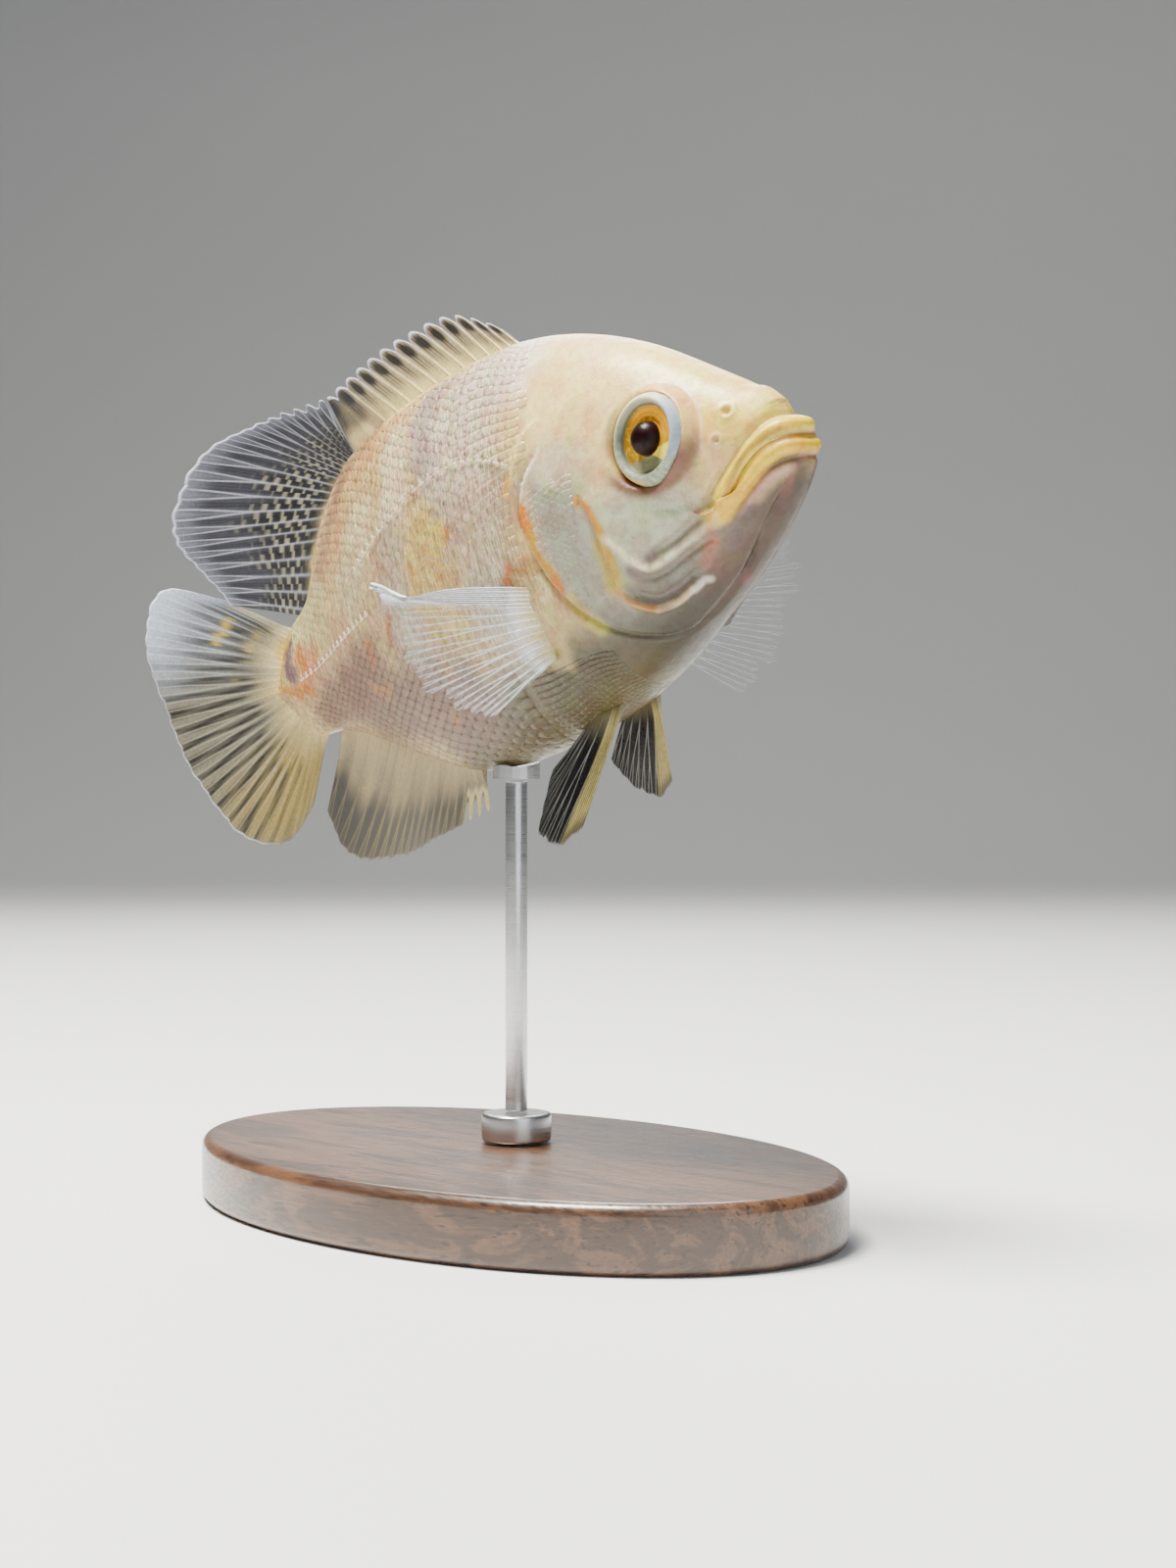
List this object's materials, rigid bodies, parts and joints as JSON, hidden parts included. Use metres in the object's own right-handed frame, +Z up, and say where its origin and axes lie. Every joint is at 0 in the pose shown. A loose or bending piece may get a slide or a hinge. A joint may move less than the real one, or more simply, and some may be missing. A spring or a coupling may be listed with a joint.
{
  "type": "oscar fish display model",
  "caption": "Pale oscar fish with spread fins, swimming nose up with its tail swung aside, held over an oval wooden base by a short steel rod.",
  "frame": {"origin": "middle of the underside of the stand's oval base", "axes": "+X towards the fish's snout, +Y to the fish's left, +Z up from the surface that the stand rests on"},
  "size_m": [0.1396, 0.0742, 0.1263],
  "materials": {
    "skin": "wet scaly skin, cream and mauve grey with orange spots",
    "fin": "thin wet fin skin, pale rays and grey webs",
    "eye": "clear glossy cornea over a gold iris",
    "stand_wood": "satin varnished dark walnut",
    "stand_steel": "turned and brushed"
  },
  "bodies": {
    "root": {"head": "skin", "lower_jaw": "skin", "gill_cover_left": "skin", "gill_cover_right": "skin", "trunk": "skin", "tail": "skin", "dorsal_fin_spiny": "fin", "dorsal_fin_soft": "fin", "anal_fin": "fin", "caudal_fin": "fin", "pectoral_fin_left": "fin", "pectoral_fin_right": "fin", "pelvic_fin_left": "fin", "pelvic_fin_right": "fin", "eye_left": "eye", "eye_right": "eye", "stand_base": "stand_wood", "stand_boss": "stand_steel", "stand_rod": "stand_steel", "stand_cup": "stand_steel"}
  },
  "joints": []
}
